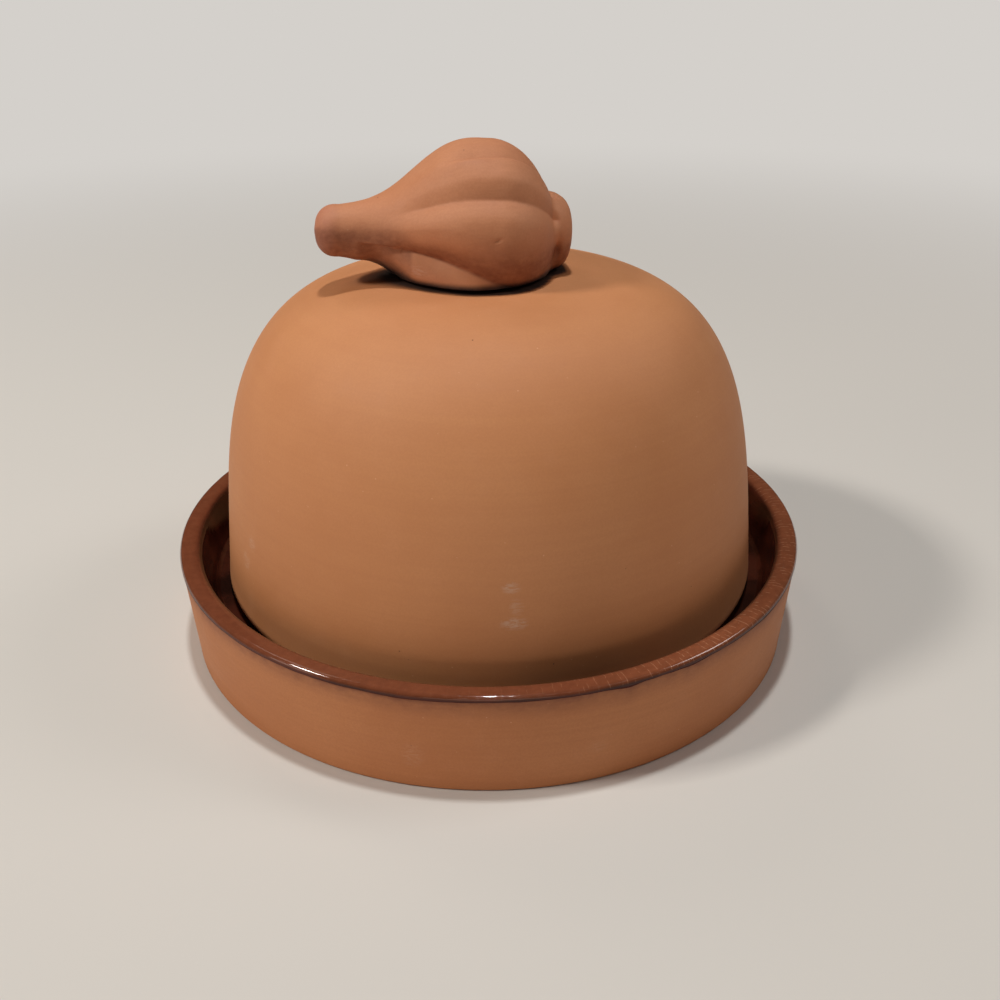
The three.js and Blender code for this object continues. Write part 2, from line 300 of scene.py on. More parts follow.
dish = dict(
    floorHeight=7, ledgeHeight=13.5, rimHeight=24.5,
    wellRadius=55.4, wellFlare=2, wellFillet=4, ledgeNose=1.6, ledgeRadius=67.7, ledgeFillet=1.2,
    rimInner=70.3, rimInnerRound=2.5, rimRadius=75, rimRound=0.9, outerFlare=1.5,
    footRound=0.6, footLean=0.06, underRadius=0.5,
    # the glaze's thickness, full down to a drop below the rim, and the gap between it and the clay
    glazeThick=0.5, edgeThick=0.12, thinFrom=0.2, gap=0.08,
    # the lap over the rim: its drop, its wandering in waves of a length and a seed, and its drips, each a
    # place round the rim, a half width and a drop
    lap=1.25, wander=0.05, wanderWaves=[(9, 11), (3, 12)],
    drips=[(11.3, 2.2, 0.5), (23, 3.5, 0.3), (42, 6, 0.35), (-74, 4, 0.25), (-22, 5, 0.2), (108, 3, 0.7),
           (-160, 4, 0.6)],
    # the outside, past these radii, is uneven by hand and hazed with brown below the lap
    outside=(72, 73), uneven=0.05, unevenWave=(40, 3),
    hazeReach=5.5, hazeSpread=2.2, hazeFall=1.6, hazeShare=0.85, hazeUneven=0.15, hazeWave=(14, 5),
    columns=360, faceStep=0.2, clayStep=0.55, underStep=2.5,
    clay=dict(
        pale=(200, 131, 84), deep=(191, 121, 75),
        streak=0.2, streakTone=(180, 110, 70), streakSize=(60, 60, 1.1), streakRise=0.03,
        mottle=0.2, mottleTone=(205, 140, 100), dust=0.2, dustTone=(174, 106, 68),
        speckGap=2.2, speck=0.5, speckTone=(226, 172, 132), poreGap=3.4, poreTone=(92, 48, 26),
        scuffs=[((-27.2, -68.7, 8.4), (3, 4, 4), 0.16), ((9.3, -73.7, 9), (3, 4, 2.2), 0.12)],
        scuffTone=(214, 170, 142), marks=[("haze", (118, 66, 50), 0.95, 0.55)],
        rough=0.62, shine=0.35, bump=0.5,
    ),
)


# The glazed face from the middle of the well over the rim, and the wall's outside carried down to the foot.
def dishFace():
    d = dish
    corners = [
        (0, d["floorHeight"], 0),
        (d["wellRadius"] - d["wellFlare"], d["floorHeight"], d["wellFillet"]),
        (d["wellRadius"], d["ledgeHeight"], d["ledgeNose"]),
        (d["ledgeRadius"], d["ledgeHeight"], d["ledgeFillet"]),
        (d["rimInner"], d["rimHeight"], d["rimInnerRound"]),
        (d["rimRadius"], d["rimHeight"], d["rimRound"]),
        (d["rimRadius"] - d["outerFlare"], 0, 0),
    ]
    return evenly(roundedLine(corners), d["faceStep"])


# How far the clay lies under that face: the glaze's thickness, thinning to its edge over the rim's corner.
def glazeDepth(face):
    d = dish
    past = np.maximum.accumulate(face[:, 0] > d["rimRadius"] - d["rimRound"])
    over = smooth(d["rimHeight"] - face[:, 1], d["thinFrom"], d["lap"]) * past
    return d["glazeThick"] + (d["edgeThick"] - d["glazeThick"]) * over


# Where the glaze ends on the outside, below the rim's top, at each turn from the front: the lap, a
# wandering edge, and the drips as bell curves. A spread above 1 lengthens the last two alike.
def lapEnd(turn, spread=1):
    d = dish
    ring = d["rimRadius"] * np.stack([np.sin(turn), -np.cos(turn), 0 * turn], -1)
    end = d["lap"] + d["wander"] * spread * sum(unevenness(ring, *wave) for wave in d["wanderWaves"])
    for place, half, drop in d["drips"]:
        away = d["rimRadius"] * (turn - np.radians(place))
        end = end + spread * drop * np.exp(-(away / half) ** 2)
    return end


# The glazed face moved in by the glaze's depth, then down the wall, round the foot and in under the dish.
def makeDishClay():
    d = dish
    face = dishFace()
    clay = evenly(beside(face, glazeDepth(face) + d["gap"]), d["clayStep"])[1:]
    clay = clay[clay[:, 1] > 2 * d["footRound"]]
    wall = clay[-1]
    foot = roundedLine([(*wall, 0), (wall[0] - d["footLean"], 0, d["footRound"]), (d["underRadius"], 0, 0)])
    profile = np.concatenate([clay, foot[1:-2], evenly(foot[-2:], d["underStep"])])
    grid = turned(profile[:, None], d["columns"])
    outside = smooth(np.hypot(grid[..., 0], grid[..., 1]), *d["outside"])
    hand = d["uneven"] * (outside * unevenness(grid, *d["unevenWave"]))
    grid += hand[..., None] * grid / d["rimRadius"] * levelOnly
    below = d["rimHeight"] - lapEnd(turns(d["columns"]), d["hazeSpread"]) - grid[..., 2]
    haze = outside * np.clip(1 - below / d["hazeReach"], 0, 1) ** d["hazeFall"]
    haze = haze * (d["hazeShare"] + d["hazeUneven"] * unevenness(grid, *d["hazeWave"]))
    return skin("dishClay", grid, marks={"haze": np.clip(haze, 0, 1)})


seat(makeDishClay(), "dish", "dish_body", redClay("dishClay", dish["clay"]))


# Dish: glaze

glaze = dict(
    # rows inside and, finer, near the rim, rows down the lap as shares of it, and one row in so many behind
    step=0.9, rimZone=4, rimStep=0.25, lapRows=(0.15, 0.97, 9), backRows=3, columns=480,
    # the lap: thin from this share of its drop on, tapered at its end, and how fast its tone comes in
    thinTo=0.55, edgeTaper=0.75, taperPower=6, lapPower=0.7,
    rimBand=(1.1, 0.15), uneven=0.03, unevenWave=(6, 21),
    # the part of the rim's corner that glints, inward and down, in shares of the corner's radius
    glintIn=(0.5, 1), glintDown=(0.32, 0.42),
    brown=(82, 37, 24), dark=(42, 18, 11), cloud=(16, 4), cloudShow=(0.35, 0.65),
    thin=(122, 67, 44), thinRight=(138, 79, 52), thinSide=(-10, 50),
    worn=(2.2, 5, 0.7), wornShow=(0.3, 0.7), wornLeast=0.75, lapTone=(80, 33, 25),
    # hair cracks: how many, how far they wander, their width as a share, and where they show
    craze=(196, 140, 106), cracks=300, crackWave=(1.6, 2), crackSwing=0.5, crackEdge=(0.06, 0.02),
    crackPatch=(1.3, 2), crackShow=(0.45, 0.57), crackSide=(-20, 50), crackLeast=0.06, crackShare=0.7,
    rough=0.05, roughWorn=0.08, roughLap=0.95, shine=0.28, coatRough=0.03,
    pool=(4, 3), poolRise=0.12, crackRise=-0.05, bump=0.5,
)


# A shell: the dish's face in front, carried down the outside to the lap's end, and behind it the face moved
# in by the glaze's thickness.
def makeGlaze():
    d, g = dish, glaze
    face = dishFace()
    past = (face[:, 0] > d["rimRadius"] - d["rimRound"]) & (face[:, 1] < d["rimHeight"] - d["rimRound"])
    inner, wall = face[:past.argmax()], face[past.argmax():]
    inside = evenly(inner, g["step"])[1:]
    rimPart = inner[inner[:, 1] > d["rimHeight"] - g["rimZone"]]
    inside = np.concatenate([inside[inside[:, 1] < rimPart[0, 1]], evenly(rimPart, g["rimStep"])])
    turn = turns(g["columns"])
    share = np.append(np.linspace(*g["lapRows"]), 1)[:, None]
    lapTop = wall[0, 1]
    height = lapTop - share * (lapEnd(turn) - (d["rimHeight"] - lapTop))
    radius = np.interp(-height, -wall[:, 1], wall[:, 0])
    lap = np.stack([radius, height], -1)
    front = np.concatenate([np.broadcast_to(inside[:, None], (len(inside), len(turn), 2)), lap])
    lapThick = d["edgeThick"] + (d["glazeThick"] - d["edgeThick"]) * fade(share, 0, g["thinTo"])
    lapThick = lapThick * (1 - g["edgeTaper"] * share ** g["taperPower"])
    thick = np.concatenate([glazeDepth(inside)[:, None], lapThick])
    run = np.gradient(front, axis=0)
    run /= np.linalg.norm(run, axis=-1, keepdims=True)
    back = front + np.stack([run[..., 1], -run[..., 0]], -1) * thick[..., None]
    profile = np.concatenate([front, back[::-g["backRows"]]])
    grid = turned(profile, len(turn))
    seen = np.arange(len(profile))[:, None] < len(front)
    edge = np.zeros(profile.shape[:2])
    edge[len(inside):len(front)] = share ** g["lapPower"]
    rim = smooth(profile[..., 1], *(d["rimHeight"] - drop for drop in g["rimBand"]))
    grid[..., 2] += np.where(seen, g["uneven"] * unevenness(grid, *g["unevenWave"]) * rim, 0)
    inward = (d["rimRadius"] - profile[..., 0]) / d["rimRound"]
    down = (d["rimHeight"] - profile[..., 1]) / d["rimRound"]
    corner = fade(inward, *g["glintIn"]) * fade(down, *g["glintDown"]) * seen * (edge == 0)
    return skin("dishGlaze", grid, marks={"lapEdge": edge, "rimTop": rim * (1 - edge), "corner": corner})


# Brown glaze: dark where it is thick, worn thin and ruddy on the rim with pale hair cracks across it, most
# of them to the right, and a hard gloss on the rim's corner.
def brownGlaze():
    g = glaze
    material, tree, shader, coords = startMaterial("brownGlaze")
    place, around = coords.outputs["Object"], coords.outputs["UV"]
    cloud = grain(tree, place, *g["cloud"])
    colour = mixed(tree, ranged(tree, cloud, *g["cloudShow"]), paint(*g["dark"]), paint(*g["brown"]))
    rim = markOf(tree, "rimTop")
    worn = ranged(tree, grain(tree, place, *g["worn"]), *g["wornShow"], g["wornLeast"], 1)
    side = addNode(tree, "SeparateXYZ", {"Vector": place}).outputs["X"]
    right = ranged(tree, side, *(x * mm for x in g["thinSide"]))
    thin = mixed(tree, right, paint(*g["thin"]), paint(*g["thinRight"]))
    colour = mixed(tree, times(tree, rim, worn), colour, thin)
    turn = addNode(tree, "SeparateXYZ", {"Vector": around}).outputs["X"]
    turn = times(tree, turn, g["cracks"])
    turn = plus(tree, turn, times(tree, grain(tree, place, *g["crackWave"]), g["crackSwing"]))
    cells = addNode(tree, "TexVoronoi", {"W": turn, "Scale": 1}, feature="DISTANCE_TO_EDGE",
                    voronoi_dimensions="1D")
    crack = ranged(tree, cells.outputs["Distance"], *g["crackEdge"])
    some = ranged(tree, grain(tree, place, *g["crackPatch"]), *g["crackShow"])
    some = times(tree, some, ranged(tree, side, *(x * mm for x in g["crackSide"]), g["crackLeast"], 1))
    crack = times(tree, times(tree, crack, some), rim)
    colour = mixed(tree, times(tree, crack, g["crackShare"]), colour, paint(*g["craze"]))
    lap = markOf(tree, "lapEdge")
    colour = mixed(tree, lap, colour, paint(*g["lapTone"]))
    tree.links.new(colour, shader.inputs["Base Color"])
    rough = ranged(tree, worn, g["wornLeast"], 1, g["rough"], g["rough"] + g["roughWorn"], "LINEAR")
    rough = plus(tree, rough, times(tree, lap, g["roughLap"]))
    tree.links.new(rough, shader.inputs["Roughness"])
    shader.inputs["Specular IOR Level"].default_value = g["shine"]
    tree.links.new(markOf(tree, "corner"), shader.inputs["Coat Weight"])
    shader.inputs["Coat Roughness"].default_value = g["coatRough"]
    pool = grain(tree, place, *g["pool"])
    height = plus(tree, times(tree, pool, g["poolRise"]), times(tree, crack, g["crackRise"]))
    bump = addNode(tree, "Bump", {"Height": height, "Distance": mm, "Strength": g["bump"]})
    tree.links.new(bump.outputs[0], shader.inputs["Normal"])
    return material


seat(makeGlaze(), "dish", "dish_glaze", brownGlaze())


# Dome lid

dome = dict(
    footHeight=13.8, footRadius=64.4, rise=71.8, lean=6.3, fullness=4, wall=6,
    footRound=2.4, footInnerRound=1.2, ventRadius=2, ventRound=0.5,
    # out of round by hand: how much, in waves of a length and a seed, squeezed upright, away from the axis
    wobble=0.1, wobbleWave=(60, 31), wobbleSqueeze=1.5, wobbleFrom=(4, 30),
    # steps between rows, and one row in so many kept on the inside
    step=0.7, footStep=0.45, ventStep=0.4, insideRows=3, columns=360,
    # the painted shade at the joint under the knob: the knob's outline spread by this, the gap over which
    # the shade fades, and how much wider that gap is under the neck
    jointShadeSpread=0.5, jointShadeReach=(0.3, 2.0), jointShadeNeck=(10, 16), jointShadeWider=2.2,
    clay=dict(
        pale=(206, 138, 89), deep=(199, 130, 81),
        streak=0.14, streakTone=(190, 118, 76), streakSize=(70, 70, 1.3), streakRise=0.025,
        mottle=0.15, mottleTone=(212, 148, 107), dust=0.15, dustTone=(184, 114, 74),
        speckGap=2.4, speck=0.5, speckTone=(230, 178, 138), poreGap=4.2, poreTone=(92, 48, 26),
        scuffs=[((-6, -61.5, 40.4), (2.4, 4, 1.6), 0.5), ((-5.5, -62.4, 32.7), (3.6, 4, 1.8), 0.6),
                ((-5, -62.1, 36.2), (1.8, 4, 2.4), 0.3), ((-58, -24.3, 30.6), (4, 2.4, 3), 0.35),
                ((-56.3, -26.9, 36), (4, 2, 2.4), 0.3)],
        # the near-black joint tone is painted shade on the crown next to the knob
        scuffTone=(214, 176, 154), marks=[("jointShade", (34, 16, 10), 1, 0.95)],
        rough=0.66, shine=0.5, bump=0.45,
    ),
)
crownTop = dome["footHeight"] + dome["rise"]


# The outside as a superellipse whose side leans in: r = (foot - lean up) across and z = rise up, where
# across and up are the cosine and the sine of an angle, each to the power 2 / fullness.
def domeCurve(samples=1500):
    d = dome
    lowest = np.arcsin((d["footRound"] / d["rise"]) ** (d["fullness"] / 2))
    angle = np.linspace(lowest, np.pi / 2, samples)
    across, up = np.cos(angle).clip(0) ** (2 / d["fullness"]), np.sin(angle) ** (2 / d["fullness"])
    return np.stack([(d["footRadius"] - d["lean"] * up) * across, d["footHeight"] + d["rise"] * up], -1)


# The dome's outside height at a distance from the axis, plus an offset.
def crownHeight(radius, offset=0):
    curve = domeCurve()
    return np.interp(radius, curve[::-1, 0], curve[::-1, 1]) + offset


# The outside, the same curve moved in by the wall, a rounded foot between them below and the vent above.
def makeDome():
    d = dome
    outside = evenly(domeCurve(), d["step"])
    inside = beside(outside, -d["wall"])
    low = d["footHeight"]
    slope = d["lean"] / d["rise"]
    outerFoot = (outside[0, 0] + slope * (outside[0, 1] - low), low, d["footRound"])
    innerFoot = (inside[0, 0] + slope * (inside[0, 1] - low), low, d["footInnerRound"])
    foot = evenly(roundedLine([(*inside[1], 0), innerFoot, outerFoot, (*outside[1], 0)]), d["footStep"])
    clear = d["ventRadius"] + d["ventRound"]
    outside, inside = (line[line[:, 0] > clear] for line in (outside, inside))
    ventTop = (d["ventRadius"], crownTop, d["ventRound"])
    ventLow = (d["ventRadius"], crownTop - d["wall"], d["ventRound"])
    vent = evenly(roundedLine([(*outside[-1], 0), ventTop, ventLow, (*inside[-1], 0)]), d["ventStep"])
    profile = np.concatenate([foot, outside[2:], vent[1:-1], inside[:1:-d["insideRows"]]])
    grid = turned(profile[:, None], d["columns"])
    ring = grid / np.linalg.norm(grid[..., :2], axis=-1, keepdims=True) * d["footRadius"] * levelOnly
    hand = unevenness(ring + grid * np.array([0, 0, d["wobbleSqueeze"]]), *d["wobbleWave"])
    hand *= smooth(np.hypot(grid[..., 0], grid[..., 1]), *d["wobbleFrom"])
    grid += d["wobble"] * hand[..., None] * ring / d["footRadius"]
    # painted shade on the crown where the knob's underside comes near it, reaching further under the neck
    reach = 1 + d["jointShadeWider"] * smooth(-grid[..., 0], *d["jointShadeNeck"])
    jointShade = fade(knobGap(grid, d["jointShadeSpread"]) / reach, *d["jointShadeReach"])
    return skin("domeShell", grid, ring=True, marks={"jointShade": jointShade})


# Garlic knob

knob = dict(
    bulbRadius=20.1, bulbBack=14.9, flareLength=18.2, flareFullness=2.9,
    neckReach=37.4, neckBase=8.2, neckTip=5, tipRound=4.3, tipDome=0.8,
    rootRadius=7.0, rootBase=9.2, rootReach=18.3, rootRound=4, rootDish=0.4,
    rootLift=0.7, rootLiftFrom=(12.5, 15), rootSoft=3, rootSoftFrom=(9.5, 12.5),
    # the axis over the crown, and the seat: its gap, and a recess set in from the edge for the dark joint
    rise=8.1, tilt=3.8, seatGap=0.8, recess=0.4, recessInset=1.75, recessSoft=0.4,
    # sections along the axis go from the side down to where they meet the crown, or to the lowest angle
    side=30, lowest=-70, outlineStep=0.1, stations=0.36, columns=300, underColumns=36,
    # hand work as heights, lengths and seeds of waves, less where the section is small
    uneven=[(0.05, 8, 41), (0.025, 3, 42)], unevenFrom=(2, 6),
    # angle and its twist and swing along the axis, where it starts on the neck, depth, extra depth (how
    # much, where, over what length), and the ramps above and below: widths at the neck and root, softness
    creases=[
        dict(line=(-20, 0, -9), start=(-26, -18), depth=1.3, extra=(3.4, -13, 8),
             upper=(6, 7, 0.4), lower=(6, 2.4, 0.2)),
        dict(line=(15, 0, 0), start=(-28, -21), depth=0, extra=(-0.6, -17, 8),
             upper=(7, 7, 0.3), lower=(5, 5, 0.3)),
        dict(line=(34, 0, 0), start=(-23, -13), depth=1.75, extra=(0, 0, 1),
             upper=(4, 4, 0.1), lower=(4.2, 4.2, 0.22)),
        dict(line=(66.5, 0.35, 0), start=(-24, -16), depth=0, extra=(-1.1, -11, 7),
             upper=(6, 6, 0.2), lower=(5, 5, 0.1)),
        dict(line=(66.5, 0.35, 0), start=(-13, -4), depth=1.9, extra=(0, 0, 1),
             upper=(7.5, 7.5, 0.25), lower=(1.2, 1.2, 0.15)),
    ],
    # the creases at the back are all alike but for angle and depth
    backCreases=[(132, 1.5), (183, 1.6), (233, 1.5), (285, 1.4)],
    backCrease=dict(start=(-25, -14), extra=(0, 0, 1), upper=(4.2, 4.2, 0.22), lower=(4.2, 4.2, 0.22)),
    swingLength=9, creaseSoft=0.25, widthChange=(-15, -3), creaseFade=(13.2, 15.2), shallowing=0.7,
    # the lowest front clove starts with a corner at a station of the neck, cut back by a depth over a reach
    facet=dict(along=-17.3, reach=5, depth=2.4, soft=0.08, top=-8, fade=6, low=(-110, -70),
               neck=(-29, -23)),
    nicks=[dict(along=-0.9, angle=8.9, length=0.65, width=0.2, slant=28, depth=0.28),
           dict(along=14.3, angle=-9, length=2.2, width=0.75, slant=84, depth=1.7)],
    clay=dict(
        pale=(202, 134, 94), deep=(194, 123, 82),
        streak=0.16, streakTone=(182, 110, 74), streakSize=(9, 0.8, 0.8), streakRise=0.05,
        mottle=0.25, mottleTone=(206, 142, 106), dust=0.18, dustTone=(178, 108, 72),
        speckGap=2.4, speck=0.4, speckTone=(226, 174, 138), poreGap=4.5, poreTone=(92, 48, 26),
        scuffs=[((-30, -6, 92), (5, 4, 2), 0.25), ((-17, -12, 89), (3, 4, 2), 0.3)],
        scuffTone=(214, 170, 146),
        # the crease tone is painted shade in the creases
        marks=[("crease", (120, 62, 40), 0.3, 0.55), ("tip", (172, 102, 86), 0.5, 0.55),
               # the under tone is painted shade on the knob's downward faces
               ("under", (116, 58, 34), 0.75, 0.55), ("scraped", (216, 146, 100), 0.55, 0.55),
               # the near-black joint tone is painted shade where the knob comes near the crown
               ("jointShade", (34, 16, 10), 1, 0.9)],
        rough=0.66, shine=0.45, bump=0.5,
    ),
)
axisHeight = crownTop + knob["rise"]


# The outline as [place along the axis, radius] from the root plate to the neck's tip: a rounded plate, half
# an ellipse, and a neck r = shaft + (bulb - shaft) exp(-(x / flare)^fullness) with a tapered shaft. Where
# the plate meets the bulb, the line is its own running mean.
def knobOutline(samples=(200, 300)):
    k = knob
    a = np.linspace(np.arcsin(k["rootBase"] / k["bulbRadius"]), np.pi / 2, samples[0])
    bulb = np.stack([k["bulbBack"] * np.cos(a), k["bulbRadius"] * np.sin(a)], -1)
    flat = k["rootRadius"] - k["rootRound"] - k["rootDish"]
    plate = roundedLine([(k["rootReach"] - k["rootDish"], 0, 0), (k["rootReach"], flat, 0),
                         (k["rootReach"], k["rootRadius"], k["rootRound"]), (*bulb[0], 0)])
    shaftEnd = k["neckReach"] - k["tipRound"] - k["tipDome"] - k["outlineStep"]
    along = np.linspace(0, shaftEnd, samples[1])[1:]
    shaft = k["neckBase"] + (k["neckTip"] - k["neckBase"]) * along / k["neckReach"]
    neck = shaft + (k["bulbRadius"] - shaft) * np.exp(-(along / k["flareLength"]) ** k["flareFullness"])
    end = roundedLine([(-along[-1], neck[-1], 0), (k["tipDome"] - k["neckReach"], neck[-1], k["tipRound"]),
                       (-k["neckReach"], k["outlineStep"], 0)])
    line = np.concatenate([plate, bulb[1:], np.stack([-along, neck], -1), end[1:]])
    line = evenly(line, k["outlineStep"])
    window = np.ones(int(k["rootSoft"] / k["outlineStep"]) // 2 * 2 + 1)
    middle = np.stack([np.convolve(np.pad(column, len(window) // 2, "edge"), window / len(window), "valid")
                       for column in line.T], -1)
    return line + (middle - line) * smooth(line[:, :1], *k["rootSoftFrom"])


# How far an angle lies above a crease's line at a station, in mm on the widest ring. The line's angle is
# start + twist x + swing tanh(x / length).
def besideCrease(crease, along, angle):
    start, twist, swing = crease["line"]
    line = start + twist * along + swing * np.tanh(along / knob["swingLength"])
    return np.radians((angle - line + 180) % 360 - 180) * knob["bulbRadius"]


# How far the creases cut in at a station and an angle, in mm. Each falls by its depth at its line and rises
# in a straight ramp with a soft end: log(1 + exp((1 - s / width) / soft)), where s is the rounded distance
# from the line on the widest ring. A crease shallows with the bulb's radius towards both ends.
def creaseFall(along, angle, radius):
    k = knob
    fall = np.zeros(np.broadcast(along, angle).shape)
    behind = [dict(k["backCrease"], line=(at, 0, 0), depth=deep) for at, deep in k["backCreases"]]
    for c in k["creases"] + behind:
        away = besideCrease(c, along, angle)
        apart = np.sqrt(away ** 2 + k["creaseSoft"] ** 2) - k["creaseSoft"]
        more, place, reach = c["extra"]
        depth = (c["depth"] + more * np.exp(-((along - place) / reach) ** 2)) * smooth(along, *c["start"])
        for side, (atNeck, atRoot, soft) in ((away > 0, c["upper"]), (away <= 0, c["lower"])):
            width = atNeck + (atRoot - atNeck) * smooth(along, *k["widthChange"])
            ramp = np.logaddexp(0, (1 - apart / width) / soft) / np.logaddexp(0, 1 / soft)
            fall += depth * ramp * side
    f = k["facet"]
    turn = (angle + 180) % 360 - 180
    below = smooth(f["top"] - turn, 0, f["fade"]) * smooth(turn, *f["low"]) * smooth(along, *f["neck"])
    fall += f["depth"] * below * np.logaddexp(0, (f["along"] - along) / f["reach"] / f["soft"]) * f["soft"]
    return fall * fade(along, *k["creaseFade"]) * (radius / k["bulbRadius"]) ** k["shallowing"]


# A point of the knob at a station of its tilted axis, an angle (0 to the front, 90 up) and a radius.
def knobPoint(along, angle, radius):
    turn, tilt = np.radians(angle), np.radians(knob["tilt"])
    lift = radius * np.sin(turn)
    x = along * np.cos(tilt) + lift * np.sin(tilt)
    z = axisHeight - along * np.sin(tilt) + lift * np.cos(tilt)
    return np.stack(np.broadcast_arrays(x, -radius * np.cos(turn), z), -1)


# The height over the crown of a point, less the seat's gap.
def overCrown(points):
    return points[..., 2] - crownHeight(np.hypot(points[..., 0], points[..., 1]), knob["seatGap"])


# The angle where a station's section meets the crown, searched from one angle down to another.
def seatAngle(along, radius, start, stop, samples=240):
    angle = np.linspace(start, stop, samples)[None]
    section = radius - creaseFall(along, angle, radius)
    clear = overCrown(knobPoint(along, angle, section)) > 0
    first = np.where(clear.all(1), samples - 1, np.argmin(clear, 1))
    return angle[0, first][:, None]


# The height of the uncreased knob's underside over points of the crown, the knob taken as a spread wider:
# the axis's height less the chord sqrt(r^2 - y^2) under it.
def knobGap(points, spread):
    outline = knobOutline()[::-1]
    radius = np.interp(points[..., 0], outline[:, 0], outline[:, 1], 0, 0) + spread
    axis = axisHeight - points[..., 0] * np.sin(np.radians(knob["tilt"]))
    return axis - points[..., 2] - np.sqrt(np.clip(radius ** 2 - points[..., 1] ** 2, 0, None))


# Sections r(x, angle) = outline - creases + lifted root - nicks + hand work along the tilted axis, closed
# below by the crown's own curve, which the last columns follow.
def makeKnob():
    k = knob
    outline = evenly(knobOutline(), k["stations"])[1:-1]
    along, radius = outline[:, :1], outline[:, 1:]
    front = seatAngle(along, radius, k["side"], k["lowest"])
    back = seatAngle(along, radius, 180 - k["side"], 180 - k["lowest"])
    share = np.linspace(0, 1, k["columns"])[None]
    under = np.linspace(0, 1, k["underColumns"] + 2)[None, 1:-1]
    angle = np.concatenate([front + (back - front) * share, back + (front + 360 - back) * under], 1)
    fall = creaseFall(along, angle, radius)
    lifted = k["rootLift"] * np.sin(np.radians(angle)) * smooth(along, *k["rootLiftFrom"])
    section = radius - fall + lifted
    for n in k["nicks"]:
        run, rise = along - n["along"], np.radians(angle - n["angle"]) * radius
        slant = np.radians(n["slant"])
        down = run * np.cos(slant) + rise * np.sin(slant)
        across = rise * np.cos(slant) - run * np.sin(slant)
        section = section - n["depth"] * np.exp(-(down / n["length"]) ** 2 - (across / n["width"]) ** 2)
    grid = knobPoint(along, angle, section)
    hand = sum(height * unevenness(grid, length, seed) for height, length, seed in k["uneven"])
    grid = knobPoint(along, angle, section + hand * smooth(section, *k["unevenFrom"]))
    floor = crownHeight(np.hypot(grid[..., 0], grid[..., 1]), k["seatGap"])
    tilt = np.radians(k["tilt"])
    drop = (floor - axisHeight) * np.cos(tilt) + grid[..., 0] * np.sin(tilt)
    inset = section - np.hypot(grid[..., 1], drop)
    floor = floor + k["recess"] * smooth(inset, k["recessInset"] - k["recessSoft"], k["recessInset"])
    grid[..., 2] = np.maximum(grid[..., 2], floor)
    return skin("garlicBulb", grid, marks=knobMarks(along, angle, section, fall, grid))


# Where the knob's tones lie: stations along the axis, angles above level, depths and distances in mm.
knobTones = dict(
    crease=(0.9, 2.6), tip=(-36, -31), neck=(-24, -16),
    shadeUnderBulb=(-10, 10), shadeUnderNeck=(-2, 38), plate=(11, 15), plateMiddle=(2, 8),
    lowestEdge=(0, 0.8), lowestEnd=(5, 12), lowestStart=(-27, -20), lowestPaler=0.4, paler=(-18, -17),
    scrapedStart=(-17.8, -16.8), scrapedEnd=(-6, 4), scrapedReach=(1.5, 5),
    jointShadeBulb=1.5, jointShadeNeck=5, jointShadeChange=(-21, -16), jointShadeShow=(0.1, 1),
)


# The marks on the knob's points: painted shade in the creases, a ruddy tip, painted shade on the underside
# that is lighter on the lowest front clove, the scraped face of that clove, and painted shade at the joint
# with the crown, which reaches higher under the neck.
def knobMarks(along, angle, section, fall, grid):
    m = knobTones
    above = np.degrees(np.arcsin(np.sin(np.radians(angle))))
    facing = np.cos(np.radians(angle)) > 0
    below = -besideCrease(knob["creases"][0], along, angle)
    lowest = smooth(below, *m["lowestEdge"]) * facing * fade(along, *m["lowestEnd"])
    scraped = lowest * smooth(along, *m["scrapedStart"]) * fade(along, *m["scrapedEnd"])
    neck = fade(along, *m["neck"])
    # painted shade on faces that turn downwards: full below the first angle, gone above the second, less on
    # the root's plate and the lowest front clove
    dark, clear = (bulb + (atNeck - bulb) * neck for bulb, atNeck in zip(m["shadeUnderBulb"], m["shadeUnderNeck"]))
    under = fade(above, dark, clear)
    under = under * (1 - smooth(along, *m["plate"]) * fade(section, *m["plateMiddle"]))
    paler = m["lowestPaler"] * (1 + smooth(along, *m["paler"]))
    under = under * (1 - lowest * smooth(along, *m["lowestStart"]) * paler)
    # painted shade on the knob's points that lie low over the crown, reaching higher under the neck
    reach = m["jointShadeBulb"] + (m["jointShadeNeck"] - m["jointShadeBulb"]) * fade(along, *m["jointShadeChange"])
    return {
        # painted shade where the creases cut in deepest
        "crease": smooth(fall, *m["crease"]),
        "tip": fade(along, *m["tip"]),
        "under": under,
        "scraped": scraped * fade(below, *m["scrapedReach"]),
        "jointShade": fade(overCrown(grid) / reach, *m["jointShadeShow"]),
    }


seat(makeDome(), "lid", "dome_lid", redClay("domeClay", dome["clay"]))
seat(makeKnob(), "lid", "garlic_knob", redClay("knobClay", knob["clay"]))


# Slip bed under the knob: its solid is right, and takes a coarse dried-slip finish.

slipBed = dict(
    pale=(92, 54, 34), deep=(70, 40, 25),
    streak=0.2, streakTone=(62, 34, 21), streakSize=(3, 3, 3), streakRise=0.1,
    mottle=0.4, mottleTone=(104, 62, 40), dust=0.3, dustTone=(58, 31, 19),
    speckGap=1.8, speck=0.3, speckTone=(130, 86, 60), poreGap=2.2, poreTone=(36, 18, 11),
    scuffs=[], marks=[], rough=0.88, shine=0.2, bump=0.8,
)
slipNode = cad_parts["knob_luting"]
slipNode.data.materials.clear()
slipNode.data.materials.append(redClay("driedSlip", slipBed))
print("knob_luting: kept as its solid")


# Floor, lamps and camera, in metres

stage = dict(
    floorSize=30, floorTone=(214, 207, 200), bounceTone=(206, 202, 196), floorRough=0.9, floorShine=0.1,
    fadeOut=(0.16, 0.75), backTone=(212, 208, 203),
    worldTone=(255, 238, 218), worldLevel=0.02, lampAim=0.06,
)
